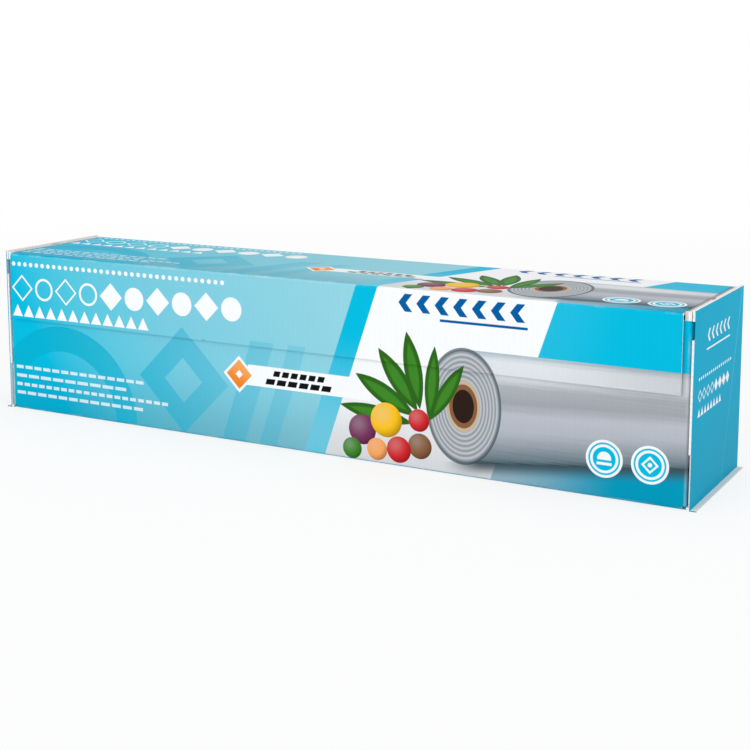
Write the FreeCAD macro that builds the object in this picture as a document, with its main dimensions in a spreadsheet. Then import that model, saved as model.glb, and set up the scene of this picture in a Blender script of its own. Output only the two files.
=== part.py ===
import FreeCAD, Part
import math
import os

import Sketcher

# A cutter carton with a wound roll of kitchen foil inside, in millimetres.
# The box is long in X, its front faces -Y and it stands on Z = 0 with its
# centre over the origin. Its pieces are the folded tray, the lid that swings on
# the crease along the back wall, the toothed cutter strip, the wound foil and
# the paper tube that it is wound on.

V = FreeCAD.Vector

# Each driving size once: its name, its value and what it measures.
SIZES = (
    ("foil_width", 300.0, "width of the foil, and length of the cutter strip"),
    ("roll_diameter", 57.0, "outside of the wound foil"),
    ("core_overhang", 1.0, "paper tube past the foil at each end"),
    ("end_room", 1.3, "end of the paper tube to a dust flap"),
    ("side_room", 1.05, "roll to the front wall, and to the back wall"),
    ("head_room", 10.6, "inside height of the closed box over the roll's diameter"),
    ("board", 1.2, "thickness of the fluted board"),
    ("fold_inner", 0.2, "inside radius of a fold"),
    ("crease_gap", 0.2, "back wall's edge to the underside of the lid"),
    ("layer_gap", 0.3, "air between two layers of board at an end"),
    ("lid_room", 1.5, "end of the lid to a dust flap"),
    ("flap_drop", 29.0, "height of the lid's front flap"),
    ("flap_gap", 0.7, "front wall to the back of the lid's flap"),
    ("nick_radius", 0.6, "half round nick in the flap's lower edge"),
    ("nick_place", 48.0, "middle of the box to that nick"),
    ("wall_drop", 3.2, "front wall's edge below the lid's top"),
    ("end_rise", 0.6, "end panel's edge above the lid's top"),
    ("dust_gap", 5.5, "between the free edges of two dust flaps"),
    ("panel_skin", 0.3, "printed liner of the end panel"),
    ("slot_depth", 5.0, "depth of the slot at an end panel's upper corner"),
    ("slot_length", 6.6, "height of that slot, below the front wall's edge"),
    ("foot_height", 20.0, "height of the step at an end panel's foot"),
    ("foot_step", 1.6, "depth of that step"),
    ("lip_reach", 2.2, "crushed fold standing out below an end panel"),
    ("lip_thickness", 0.4, "thickness of that crushed fold"),
    ("roll_seat", 0.05, "air between the roll and the tray's floor"),
    ("tail_step", 0.25, "height of the foil's free end on the roll"),
    ("tail_turn", 25.0, "degrees from the top of the roll to its free end"),
    ("ring_inner", 41.0, "inner diameter of the turns that stand out sideways"),
    ("ring_outer", 46.0, "outer diameter of those turns"),
    ("ring_height", 0.35, "how far those turns stand out"),
    ("core_diameter", 34.0, "outside of the paper tube"),
    ("core_wall", 2.0, "wall of the paper tube"),
    ("core_chamfer", 0.4, "broken outer edge of the paper tube"),
    ("core_fit", 0.05, "air between the paper tube and the first turn"),
    ("cutter_height", 10.0, "height of the cutter strip over its teeth"),
    ("cutter_sheet", 0.3, "thickness of the cutter strip"),
    ("tooth_pitch", 2.5, "from one tooth to the next"),
    ("tooth_depth", 1.8, "height of a tooth"),
    ("tooth_tip", 0.2, "flat left at the tip of a tooth"),
    ("tooth_rise", 1.2, "tips of the teeth above the front wall's edge"),
    ("stake_diameter", 1.6, "hole punched to hold the strip on the board"),
    ("stake_pitch", 25.0, "from one punched hole to the next"),
    ("stake_height", 3.0, "punched hole above the strip's lower edge"),
)

# Places worked out from those sizes, each as an expression in the same names.
FOLD_OUTER = "(dims.fold_inner + dims.board)"
INNER_DEPTH = "(dims.roll_diameter + 2 * dims.side_room)"
BOX_DEPTH = f"({INNER_DEPTH} + 3 * dims.board + dims.flap_gap)"
BOX_HEIGHT = "(dims.roll_diameter + dims.head_room + 2 * dims.board)"
WALL_FRONT = f"(-{BOX_DEPTH} / 2 + dims.board + dims.flap_gap)"
WALL_BACK = f"({BOX_DEPTH} / 2)"
CORE_END = "(dims.foil_width / 2 + dims.core_overhang)"
WALL_END = f"({CORE_END} + dims.end_room + dims.board)"
PANEL_FACE = f"({WALL_END} + dims.layer_gap + dims.board)"
WALL_STOP = f"({WALL_END} - {FOLD_OUTER} - dims.layer_gap)"
DUST_INNER = f"({WALL_END} - dims.board)"
LID_END = f"({DUST_INNER} - dims.lid_room)"
SHOULDER = f"({LID_END} + dims.layer_gap)"
LID_UNDER = f"({BOX_HEIGHT} - dims.board)"
FRONT_EDGE = f"({BOX_HEIGHT} - dims.wall_drop)"
BACK_EDGE = f"({LID_UNDER} - dims.crease_gap)"
PANEL_TOP = f"({BOX_HEIGHT} + dims.end_rise)"
DUST_LOW = "(dims.board + dims.layer_gap)"
DUST_REACH = f"({INNER_DEPTH} / 2 + dims.board - dims.dust_gap / 2)"
ROLL_Y = f"(({WALL_FRONT} + {WALL_BACK}) / 2)"
ROLL_Z = "(dims.board + dims.roll_seat + dims.roll_diameter / 2)"
CUTTER_TOP = f"({FRONT_EDGE} + dims.tooth_rise)"
CUTTER_LOW = f"({CUTTER_TOP} - dims.cutter_height)"

NEAR = 1e-4


def make_sheet(doc):
    """The spreadsheet with one named cell for each driving size."""
    sheet = doc.addObject("Spreadsheet::Sheet", "dims")
    for row, (name, value, meaning) in enumerate(SIZES, start=1):
        sheet.set(f"A{row}", str(value))
        sheet.setAlias(f"A{row}", name)
        sheet.set(f"B{row}", meaning)
    doc.recompute()
    return sheet


def value(body, expression):
    """The number that an expression in the sheet's names comes to."""
    return float(body.evalExpression(expression))


def origin_part(body, role):
    return next(part for part in body.Origin.OriginFeatures if part.Role == role)


def new_body(doc, label):
    body = doc.addObject("PartDesign::Body", label)
    body.Label = label
    return body


def new_sketch(body, name, plane, offset="0", shift=("0", "0"), turn=None):
    """A sketch on an origin plane of its body, moved by the given expressions."""
    sketch = body.newObject("Sketcher::SketchObject", name)
    sketch.AttachmentSupport = [(origin_part(body, plane), "")]
    sketch.MapMode = "FlatFace"
    sketch.setExpression("AttachmentOffset.Base.x", shift[0])
    sketch.setExpression("AttachmentOffset.Base.y", shift[1])
    sketch.setExpression("AttachmentOffset.Base.z", offset)
    if turn:
        sketch.setExpression("AttachmentOffset.Rotation.Angle", turn)
    return sketch


def draw_outline(body, sketch, corners):
    """A closed outline of straight lines, each corner tied to two expressions."""
    places = [V(value(body, x), value(body, y), 0) for x, y in corners]
    count = len(corners)
    for index in range(count):
        line = Part.LineSegment(places[index], places[(index + 1) % count])
        sketch.addGeometry(line)
    for index in range(count):
        joint = Sketcher.Constraint("Coincident", index, 2, (index + 1) % count, 1)
        sketch.addConstraint(joint)
    for index, (x, y) in enumerate(corners):
        for kind, size, expression in (
            ("DistanceX", places[index].x, x),
            ("DistanceY", places[index].y, y),
        ):
            tie = sketch.addConstraint(Sketcher.Constraint(kind, -1, 1, index, 1, size))
            sketch.setExpression(f"Constraints[{tie}]", expression)


def draw_circle(body, sketch, radius):
    """A circle about the sketch's own origin."""
    circle = Part.Circle(V(0, 0, 0), V(0, 0, 1), value(body, radius))
    index = sketch.addGeometry(circle)
    sketch.addConstraint(Sketcher.Constraint("Coincident", index, 3, -1, 1))
    size = Sketcher.Constraint("Radius", index, value(body, radius))
    tie = sketch.addConstraint(size)
    sketch.setExpression(f"Constraints[{tie}]", radius)


def pad(body, name, sketch, length, middle=False):
    feature = body.newObject("PartDesign::Pad", name)
    feature.Profile = sketch
    if middle:
        feature.SideType = "Symmetric"
    feature.setExpression("Length", length)
    body.Document.recompute()
    return feature


def pocket(body, name, sketch, length):
    """A pocket along the sketch's own normal, which has to take material away."""
    before = body.Shape.Volume
    feature = body.newObject("PartDesign::Pocket", name)
    feature.Profile = sketch
    feature.Reversed = True
    feature.setExpression("Length", length)
    body.Document.recompute()
    if feature.Shape.Volume >= before:
        raise RuntimeError(f"{name} cuts nothing")
    return feature


def line_pattern(body, name, source, pitch, count):
    """Copies of one feature at an even pitch along X."""
    feature = body.newObject("PartDesign::LinearPattern", name)
    feature.Originals = [source]
    feature.Direction = (origin_part(body, "X_Axis"), [""])
    feature.Mode = "Spacing"
    feature.setExpression("Offset", pitch)
    feature.setExpression("Occurrences", count)
    body.Tip = feature
    body.Document.recompute()
    return feature


def mirror_ends(body):
    """The whole half box once more, across the middle of its length."""
    feature = body.newObject("PartDesign::Mirrored", "OtherHalf")
    feature.TransformMode = "Whole shape"
    feature.MirrorPlane = (origin_part(body, "YZ_Plane"), [""])
    body.Tip = feature
    body.Document.recompute()


def lies_on(edge, place):
    """Whether both ends of an edge have every coordinate that place gives."""
    ends = [vertex.Point for vertex in edge.Vertexes]
    return len(ends) == 2 and all(
        wanted is None or abs(end[axis] - wanted) < NEAR
        for end in ends
        for axis, wanted in enumerate(place)
    )


def longest_edge(shape, place):
    """The name of the longest straight edge through a place."""
    found = [
        (edge.Length, f"Edge{number}")
        for number, edge in enumerate(shape.Edges, start=1)
        if lies_on(edge, place)
    ]
    if not found:
        raise RuntimeError(f"no edge through {place}")
    return max(found)[1]


def fillet(body, name, radius, places):
    """Rounds one straight edge through each place, given by two of its coordinates."""
    base = body.Tip
    names = []
    for place in places:
        point = [None if part is None else value(body, part) for part in place]
        names.append(longest_edge(base.Shape, point))
    feature = body.newObject("PartDesign::Fillet", name)
    feature.Base = (base, names)
    feature.setExpression("Radius", radius)
    body.Document.recompute()
    return feature


def rectangle(low_x, low_y, high_x, high_y):
    return [(low_x, low_y), (high_x, low_y), (high_x, high_y), (low_x, high_y)]


def add_channel(body):
    """Front wall, floor and back wall of one half, with their two long folds."""
    inner_front = f"{WALL_FRONT} + dims.board"
    inner_back = f"{WALL_BACK} - dims.board"
    sketch = new_sketch(body, "ChannelSection", "YZ_Plane")
    corners = [
        (WALL_FRONT, FRONT_EDGE),
        (WALL_FRONT, "0"),
        (WALL_BACK, "0"),
        (WALL_BACK, BACK_EDGE),
        (inner_back, BACK_EDGE),
        (inner_back, "dims.board"),
        (inner_front, "dims.board"),
        (inner_front, FRONT_EDGE),
    ]
    draw_outline(body, sketch, corners)
    pad(body, "Channel", sketch, WALL_STOP)
    outer = [(None, WALL_FRONT, "0"), (None, WALL_BACK, "0")]
    inner = [(None, inner_front, "dims.board"), (None, inner_back, "dims.board")]
    fillet(body, "LongFoldOutside", FOLD_OUTER, outer)
    fillet(body, "LongFoldInside", "dims.fold_inner", inner)


def add_floor_end(body):
    """The floor out to the end panel, and the crushed fold that stands out below it."""
    front = f"{WALL_FRONT} + {FOLD_OUTER}"
    back = f"{WALL_BACK} - {FOLD_OUTER}"
    sketch = new_sketch(body, "FloorEndOutline", "XY_Plane")
    corners = [
        (WALL_STOP, front),
        (WALL_END, front),
        (WALL_END, WALL_FRONT),
        (PANEL_FACE, WALL_FRONT),
        (PANEL_FACE, WALL_BACK),
        (WALL_END, WALL_BACK),
        (WALL_END, back),
        (WALL_STOP, back),
    ]
    draw_outline(body, sketch, corners)
    pad(body, "FloorEnd", sketch, "dims.board")
    lip = new_sketch(body, "LipOutline", "XY_Plane")
    reach = f"{PANEL_FACE} + dims.lip_reach"
    draw_outline(body, lip, rectangle(PANEL_FACE, WALL_FRONT, reach, WALL_BACK))
    pad(body, "Lip", lip, "dims.lip_thickness")


def add_dust_flap(body, side, wall, inward, wall_top):
    """A dust flap folded in from the end of a wall, and the shoulder beside the lid.

    The flap and its shoulder stand above the wall's edge, up to the lid's top.
    """
    inner_face = f"{wall} {inward} dims.board"
    tip = f"{wall} {inward} {DUST_REACH}"
    fold = new_sketch(body, f"{side}DustFold", "XY_Plane", offset=DUST_LOW)
    corners = [
        (WALL_STOP, wall),
        (WALL_END, wall),
        (WALL_END, tip),
        (DUST_INNER, tip),
        (DUST_INNER, inner_face),
        (WALL_STOP, inner_face),
    ]
    draw_outline(body, fold, corners)
    pad(body, f"{side}DustFlap", fold, f"{wall_top} - {DUST_LOW}")
    fillet(body, f"{side}FoldOutside", FOLD_OUTER, [(WALL_END, wall, None)])
    fillet(body, f"{side}FoldInside", "dims.fold_inner", [(DUST_INNER, inner_face, None)])
    edge = new_sketch(body, f"{side}DustEdge", "XY_Plane", offset=wall_top)
    corners = [
        (SHOULDER, wall),
        (WALL_END, wall),
        (WALL_END, tip),
        (DUST_INNER, tip),
        (DUST_INNER, inner_face),
        (SHOULDER, inner_face),
    ]
    draw_outline(body, edge, corners)
    pad(body, f"{side}DustTop", edge, f"{BOX_HEIGHT} - {wall_top}")


def add_end_panel(body):
    """The end panel: its printed liner, and its plies with the slots and foot steps."""
    liner_back = f"{PANEL_FACE} - dims.panel_skin"
    skin = new_sketch(body, "LinerOutline", "YZ_Plane", offset=liner_back)
    draw_outline(body, skin, rectangle(WALL_FRONT, "dims.board", WALL_BACK, PANEL_TOP))
    pad(body, "PanelLiner", skin, "dims.panel_skin")
    slot_low = f"{FRONT_EDGE} - dims.slot_length"
    front_side = [
        (f"{WALL_FRONT} + dims.foot_step", "dims.board"),
        (f"{WALL_FRONT} + dims.foot_step", "dims.foot_height"),
        (WALL_FRONT, "dims.foot_height"),
        (WALL_FRONT, slot_low),
        (f"{WALL_FRONT} + dims.slot_depth", slot_low),
        (f"{WALL_FRONT} + dims.slot_depth", FRONT_EDGE),
        (WALL_FRONT, FRONT_EDGE),
        (WALL_FRONT, PANEL_TOP),
    ]
    back_side = [
        (WALL_BACK, PANEL_TOP),
        (WALL_BACK, FRONT_EDGE),
        (f"{WALL_BACK} - dims.slot_depth", FRONT_EDGE),
        (f"{WALL_BACK} - dims.slot_depth", slot_low),
        (WALL_BACK, slot_low),
        (WALL_BACK, "dims.foot_height"),
        (f"{WALL_BACK} - dims.foot_step", "dims.foot_height"),
        (f"{WALL_BACK} - dims.foot_step", "dims.board"),
    ]
    ply_back = f"{WALL_END} + dims.layer_gap"
    plies = new_sketch(body, "PlyOutline", "YZ_Plane", offset=ply_back)
    draw_outline(body, plies, front_side + back_side)
    pad(body, "PanelPlies", plies, "dims.board - dims.panel_skin")


def make_tray(doc):
    """The folded tray: walls, floor, dust flaps and end panels as one sheet."""
    body = new_body(doc, "carton_tray")
    add_channel(body)
    add_floor_end(body)
    add_dust_flap(body, "Front", WALL_FRONT, "+", FRONT_EDGE)
    add_dust_flap(body, "Back", WALL_BACK, "-", BACK_EDGE)
    add_end_panel(body)
    mirror_ends(body)
    return body


def make_lid(doc):
    """The lid: its top panel, its nicked front flap and the fold between them."""
    body = new_body(doc, "carton_lid")
    face = f"(-{BOX_DEPTH} / 2)"
    inner_face = f"{face} + dims.board"
    low = f"{BOX_HEIGHT} - dims.flap_drop"
    sketch = new_sketch(body, "LidSection", "YZ_Plane")
    corners = [
        (WALL_BACK, BOX_HEIGHT),
        (face, BOX_HEIGHT),
        (face, low),
        (inner_face, low),
        (inner_face, LID_UNDER),
        (WALL_BACK, LID_UNDER),
    ]
    draw_outline(body, sketch, corners)
    pad(body, "LidSheet", sketch, f"2 * {LID_END}", middle=True)
    fillet(body, "FrontFoldOutside", FOLD_OUTER, [(None, face, BOX_HEIGHT)])
    fillet(body, "FrontFoldInside", "dims.fold_inner", [(None, inner_face, LID_UNDER)])
    crease = [(None, WALL_BACK, BOX_HEIGHT)]
    fillet(body, "CreaseOutside", "dims.board - dims.crease_gap", crease)

    place = ("-dims.nick_place", low)
    behind = f"-({inner_face})"
    nick = new_sketch(body, "NickOutline", "XZ_Plane", offset=behind, shift=place)
    draw_circle(body, nick, "dims.nick_radius")
    pocket(body, "Nick", nick, "dims.board")
    return body


def make_cutter(doc):
    """The steel strip along the front wall's edge, with its row of teeth."""
    body = new_body(doc, "cutter_strip")
    left = "(-dims.foil_width / 2)"
    right = "(dims.foil_width / 2)"
    face = f"-{WALL_FRONT}"
    blank = new_sketch(body, "Blank", "XZ_Plane", offset=face)
    draw_outline(body, blank, rectangle(left, CUTTER_LOW, right, CUTTER_TOP))
    pad(body, "Strip", blank, "dims.cutter_sheet")

    gullet = new_sketch(body, "Gullet", "XZ_Plane", offset=face)
    corners = [
        (f"{left} + dims.tooth_tip / 2", CUTTER_TOP),
        (f"{left} + dims.tooth_pitch / 2", f"{CUTTER_TOP} - dims.tooth_depth"),
        (f"{left} + dims.tooth_pitch - dims.tooth_tip / 2", CUTTER_TOP),
    ]
    draw_outline(body, gullet, corners)
    first = pocket(body, "FirstGullet", gullet, "dims.cutter_sheet")
    count = "floor(dims.foil_width / dims.tooth_pitch)"
    line_pattern(body, "Teeth", first, "dims.tooth_pitch", count)

    stakes = "floor(dims.foil_width / dims.stake_pitch)"
    place = (f"-({stakes} - 1) / 2 * dims.stake_pitch", f"{CUTTER_LOW} + dims.stake_height")
    hole = new_sketch(body, "StakeHole", "XZ_Plane", offset=face, shift=place)
    draw_circle(body, hole, "dims.stake_diameter / 2")
    stake = pocket(body, "FirstStake", hole, "dims.cutter_sheet")
    line_pattern(body, "Stakes", stake, "dims.stake_pitch", stakes)
    return body


def draw_turns(body, sketch):
    """The roll's outline: two half circles of a spiral and the step at the foil's end.

    The first half circle lies about the sketch's origin. The second is smaller by half
    the step and its centre is lower by as much, so the two meet at the bottom and differ
    by the whole step at the top.
    """
    outer = "dims.roll_diameter / 2"
    radius = value(body, outer)
    step = value(body, "dims.tail_step")
    normal = V(0, 0, 1)
    quarter = math.pi / 2
    wide = Part.Circle(V(0, 0, 0), normal, radius)
    narrow = Part.Circle(V(0, -step / 2, 0), normal, radius - step / 2)
    first = sketch.addGeometry(Part.ArcOfCircle(wide, -quarter, quarter))
    second = sketch.addGeometry(Part.ArcOfCircle(narrow, quarter, 3 * quarter))
    end = sketch.addGeometry(Part.LineSegment(V(0, radius, 0), V(0, radius - step, 0)))
    start_of, end_of, centre_of = 1, 2, 3
    upright_axis = -2
    rules = [
        Sketcher.Constraint("Coincident", first, centre_of, -1, 1),
        Sketcher.Constraint("PointOnObject", first, start_of, upright_axis),
        Sketcher.Constraint("PointOnObject", first, end_of, upright_axis),
        Sketcher.Constraint("Coincident", first, start_of, second, end_of),
        Sketcher.Constraint("Coincident", first, end_of, end, start_of),
        Sketcher.Constraint("Coincident", end, end_of, second, start_of),
        Sketcher.Constraint("PointOnObject", second, centre_of, upright_axis),
        Sketcher.Constraint("Vertical", end),
    ]
    for rule in rules:
        sketch.addConstraint(rule)
    size = sketch.addConstraint(Sketcher.Constraint("Radius", first, radius))
    sketch.setExpression(f"Constraints[{size}]", outer)
    drop = Sketcher.Constraint("DistanceY", end, end_of, end, start_of, step)
    tie = sketch.addConstraint(drop)
    sketch.setExpression(f"Constraints[{tie}]", "dims.tail_step")


def make_roll(doc):
    """The wound foil on the tray's floor, with some turns standing out sideways."""
    body = new_body(doc, "foil_roll")
    axis = (ROLL_Y, ROLL_Z)
    turns = new_sketch(body, "Turns", "YZ_Plane", shift=axis, turn="dims.tail_turn")
    draw_turns(body, turns)
    draw_circle(body, turns, "dims.core_diameter / 2 + dims.core_fit")
    pad(body, "Wound", turns, "dims.foil_width", middle=True)
    ring = new_sketch(body, "Ring", "YZ_Plane", shift=axis)
    draw_circle(body, ring, "dims.ring_outer / 2")
    draw_circle(body, ring, "dims.ring_inner / 2")
    over = "dims.foil_width + 2 * dims.ring_height"
    pad(body, "ShiftedTurns", ring, over, middle=True)
    return body


def make_core(doc):
    """The paper tube through the roll, a little longer than the foil is wide."""
    body = new_body(doc, "roll_core")
    section = new_sketch(body, "TubeSection", "YZ_Plane", shift=(ROLL_Y, ROLL_Z))
    draw_circle(body, section, "dims.core_diameter / 2")
    draw_circle(body, section, "dims.core_diameter / 2 - dims.core_wall")
    tube = pad(body, "Tube", section, f"2 * {CORE_END}", middle=True)
    radius = value(body, "dims.core_diameter / 2")
    rims = [
        f"Edge{number}"
        for number, edge in enumerate(tube.Shape.Edges, start=1)
        if len(edge.Vertexes) == 1 and abs(edge.Curve.Radius - radius) < NEAR
    ]
    chamfer = body.newObject("PartDesign::Chamfer", "BrokenRims")
    chamfer.Base = (tube, rims)
    chamfer.setExpression("Size", "dims.core_chamfer")
    doc.recompute()
    return body


def check_document(doc):
    """Stops at any object that failed to build."""
    for item in doc.Objects:
        if "Invalid" in item.State or "Error" in item.State:
            raise RuntimeError(f"{item.Name} failed: {item.State}")


def write_part(body):
    """Writes one piece to its own file, once it is known to be one sound solid."""
    shape = body.Shape
    if shape.isNull() or not shape.isValid() or len(shape.Solids) != 1:
        raise RuntimeError(f"{body.Label} isn't one sound solid")
    shape.exportStep(os.path.join("parts", f"{body.Label}.step"))
    box = shape.BoundBox
    print(f"{body.Label}: {shape.Volume:.0f} mm3, {len(shape.Faces)} faces")
    print(f"  X {box.XMin:.2f} {box.XMax:.2f}  Y {box.YMin:.2f} {box.YMax:.2f}")
    print(f"  Z {box.ZMin:.2f} {box.ZMax:.2f}")


def main():
    doc = FreeCAD.newDocument("foil_carton")
    make_sheet(doc)
    makers = (make_tray, make_lid, make_cutter, make_roll, make_core)
    bodies = [make(doc) for make in makers]
    doc.recompute()
    check_document(doc)
    os.makedirs("parts", exist_ok=True)
    for body in bodies:
        write_part(body)


main()
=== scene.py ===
import math

import bpy
import numpy as np
from bpy.props import FloatProperty, FloatVectorProperty, IntProperty, PointerProperty
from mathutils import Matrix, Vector


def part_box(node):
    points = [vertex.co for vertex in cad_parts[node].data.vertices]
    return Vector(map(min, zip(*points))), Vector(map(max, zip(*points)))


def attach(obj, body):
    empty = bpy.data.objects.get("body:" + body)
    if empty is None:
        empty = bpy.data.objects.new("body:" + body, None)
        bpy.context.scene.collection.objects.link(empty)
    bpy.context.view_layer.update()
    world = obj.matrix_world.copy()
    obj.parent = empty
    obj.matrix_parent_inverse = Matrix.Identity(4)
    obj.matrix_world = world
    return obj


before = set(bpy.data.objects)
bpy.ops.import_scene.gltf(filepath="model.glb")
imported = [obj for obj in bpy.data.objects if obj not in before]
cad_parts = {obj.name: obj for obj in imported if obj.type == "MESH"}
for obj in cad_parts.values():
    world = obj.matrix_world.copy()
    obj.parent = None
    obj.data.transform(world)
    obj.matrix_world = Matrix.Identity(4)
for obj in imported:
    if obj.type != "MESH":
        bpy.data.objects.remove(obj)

bl_info = {
    "name": "Foil carton",
    "version": (1, 0, 0),
    "blender": (4, 5, 0),
    "location": "View3D > Sidebar > Foil carton",
    "description": "Dresses a cutter carton, its cutter strip and the wound foil inside it",
    "category": "Object",
}

MM = 0.001

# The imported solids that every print, edge and piece is set against, in millimetres.
LID_LOW, LID_HIGH = (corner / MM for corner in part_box("carton_lid"))
TRAY_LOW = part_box("carton_tray")[0] / MM
ROLL_LOW, ROLL_HIGH = (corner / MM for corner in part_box("foil_roll"))
CORE_LOW, CORE_HIGH = (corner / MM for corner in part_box("roll_core"))
CUTTER_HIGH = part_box("cutter_strip")[1] / MM

# The board's thickness, the gap between two layers of it, how far the walls end under the
# top, and how far the outsides of the end panels stand from the middle.
BOARD = 1.2
LAYER_GAP = 0.3
WALL_DROP = 3.2
PANEL_FACE = 155.0

# Planes of the closed carton.
FACE_FRONT = LID_LOW.y
FACE_BACK = LID_HIGH.y
FACE_TOP = LID_HIGH.z
WALL_FRONT = TRAY_LOW.y
WALL_END = PANEL_FACE - BOARD - LAYER_GAP
FLAP_EDGE = LID_LOW.z
WALL_EDGE = FACE_TOP - WALL_DROP
CORE_Y = (CORE_LOW.y + CORE_HIGH.y) / 2
CORE_Z = (CORE_LOW.z + CORE_HIGH.z) / 2
ROLL_RADIUS = ROLL_HIGH.z - CORE_Z

# A face counts as turned towards an axis over the first of these, and as flat over the
# second. The normal's part along the axis is compared with them.
TURNED = 0.3
FLAT = 0.6

# How finishes meet the planes: a reach past them, a hair's breadth, a layer with its fold,
# and the printed skin that shows at the cut edges of an end panel and the top. On the flap's
# cut side edges the print colour is painted shade, over the part of the edge that lies in shade.
REACH = 0.1
HAIR = 0.02
LAYER = 1.6
SKIN = 0.4
TOP_SKIN = 0.3
FLAP_SHADE_SKIN = 0.7

FULL_TURN = 2 * math.pi


def screen(red, green, blue):
    """A colour as it is read on a screen, from 0 to 255, turned into linear light."""
    parts = np.array([red, green, blue]) / 255
    low = parts / 12.92
    high = ((parts + 0.055) / 1.055) ** 2.4
    return tuple(float(part) for part in np.where(parts <= 0.04045, low, high))


def colour(name, description, *default):
    return FloatVectorProperty(
        name=name, description=description, default=screen(*default),
        subtype="COLOR", size=3, min=0, max=1,
    )


def length(name, description, default):
    """A length in metres, given here in millimetres."""
    return FloatProperty(
        name=name, description=description, default=default * MM,
        subtype="DISTANCE", unit="LENGTH", precision=5,
    )


def angle(name, description, degrees):
    return FloatProperty(
        name=name, description=description, default=math.radians(degrees),
        subtype="ANGLE", unit="ROTATION",
    )


def amount(name, description, default):
    return FloatProperty(name=name, description=description, default=default, min=0, max=20)


class FOILCARTON_PG_print(bpy.types.PropertyGroup):
    """Colours of the printed board."""

    deep: colour("Deep cyan", "Left end of the long field", 0, 184, 219)
    tone: colour("Tone", "Large arch, diamond and bars on the long field", 0, 172, 203)
    middle: colour("Middle cyan", "A fifth of the way along the field", 85, 194, 217)
    pale: colour("Pale cyan", "Half way along the field", 119, 198, 217)
    faint: colour("Faint cyan", "Right end of the long field", 145, 207, 221)
    band: colour("Band", "Slanting band and right block", 1, 183, 218)
    shade: colour("Shade", "Cyan under the silver field", 1, 150, 183)
    end: colour("End panel", "Both end panels", 0, 168, 203)
    white: colour("White", "White field and light motifs", 243, 245, 247)
    mist: colour("Mist", "Foot of the white field", 212, 215, 218)
    ink: colour("Ink", "Dark marks on the tag", 18, 18, 22)
    navy: colour("Navy", "Chevrons on the white field", 0, 92, 158)
    orange: colour("Orange", "Light side of the mark at the head of the tag", 244, 164, 92)
    amber: colour("Amber", "Dark side of that mark", 236, 128, 34)
    silver: colour("Silver", "Light parts of the silver field", 234, 238, 242)
    slate: colour("Slate", "Dark parts of the silver field", 58, 78, 86)
    leaf: colour("Leaf", "Leaf shapes", 62, 132, 40)
    red: colour("Red", "Red round shape", 205, 40, 46)
    yellow: colour("Yellow", "Yellow round shape", 246, 190, 30)
    plum: colour("Plum", "Purple round shape", 118, 52, 92)
    brown: colour("Brown", "Brown round shape and ring", 134, 92, 62)
    tan: colour("Tan", "Ring round the brown ring", 196, 176, 150)
    bore: colour("Bore", "Dark middle of the wound end", 44, 30, 24)
    grey: colour("Grey", "Middle tone of the wound end", 166, 171, 178)
    haze: colour("Haze", "Ground at the left of the silver field", 146, 176, 190)


class FOILCARTON_PG_board(bpy.types.PropertyGroup):
    """Fluted board under the print."""

    liner: colour("Liner", "Unprinted inside of the board", 214, 212, 208)
    edge: colour("Edge", "Cut edge of the board", 246, 244, 243)
    hollow: colour("Hollow", "Hollows between the flutes at a cut edge", 239, 237, 235)
    flute: length("Flute", "From one flute to the next", 2.3)
    gloss: amount("Gloss", "Roughness of the printed face", 0.42)
    sheen: amount("Sheen", "Strength of the board's reflections", 0.02)


class FOILCARTON_PG_metal(bpy.types.PropertyGroup):
    """Foil, cutter strip and paper tube."""

    foil: colour("Foil", "Bright side of the foil", 232, 234, 236)
    steel: colour("Steel", "Cold rolled cutter strip", 214, 216, 220)
    paper: colour("Paper", "Brown paper of the tube", 158, 120, 84)
    seam: length("Seam", "Pitch of the tube's spiral seam", 62.0)
    tail: length("Tail", "Loose foil past the roll's crown", 15.0)
    rows: IntProperty(name="Rows", description="Grid rows along the loose foil", default=70)
    columns: IntProperty(name="Columns", description="Grid columns across it", default=420)


class FOILCARTON_PG_stage(bpy.types.PropertyGroup):
    """Floor, light and camera."""

    floor: colour("Floor", "Pale floor", 246, 247, 248)
    azimuth: angle("Azimuth", "Camera's turn to the right of the front", 28.77)
    elevation: angle("Elevation", "Camera's tilt down", 8.36)
    distance: length("Distance", "Camera to the point it looks at", 597.6)
    aside: length("Aside", "Point looked at, to the right of the centre", 12.46)
    above: length("Above", "Point looked at, above half the height", 36.98)
    lens: amount("Lens", "Focal length over the frame's width", 1.9377)
    shift: FloatProperty(name="Shift", description="Frame below the lens axis", default=-0.15)
    ambient: amount("Ambient", "Light from all around", 0.55)
    key: amount("Key", "Light from the lamps", 0.68)


GROUPS = {
    "foil_print": FOILCARTON_PG_print,
    "foil_board": FOILCARTON_PG_board,
    "foil_metal": FOILCARTON_PG_metal,
    "foil_stage": FOILCARTON_PG_stage,
}


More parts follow.
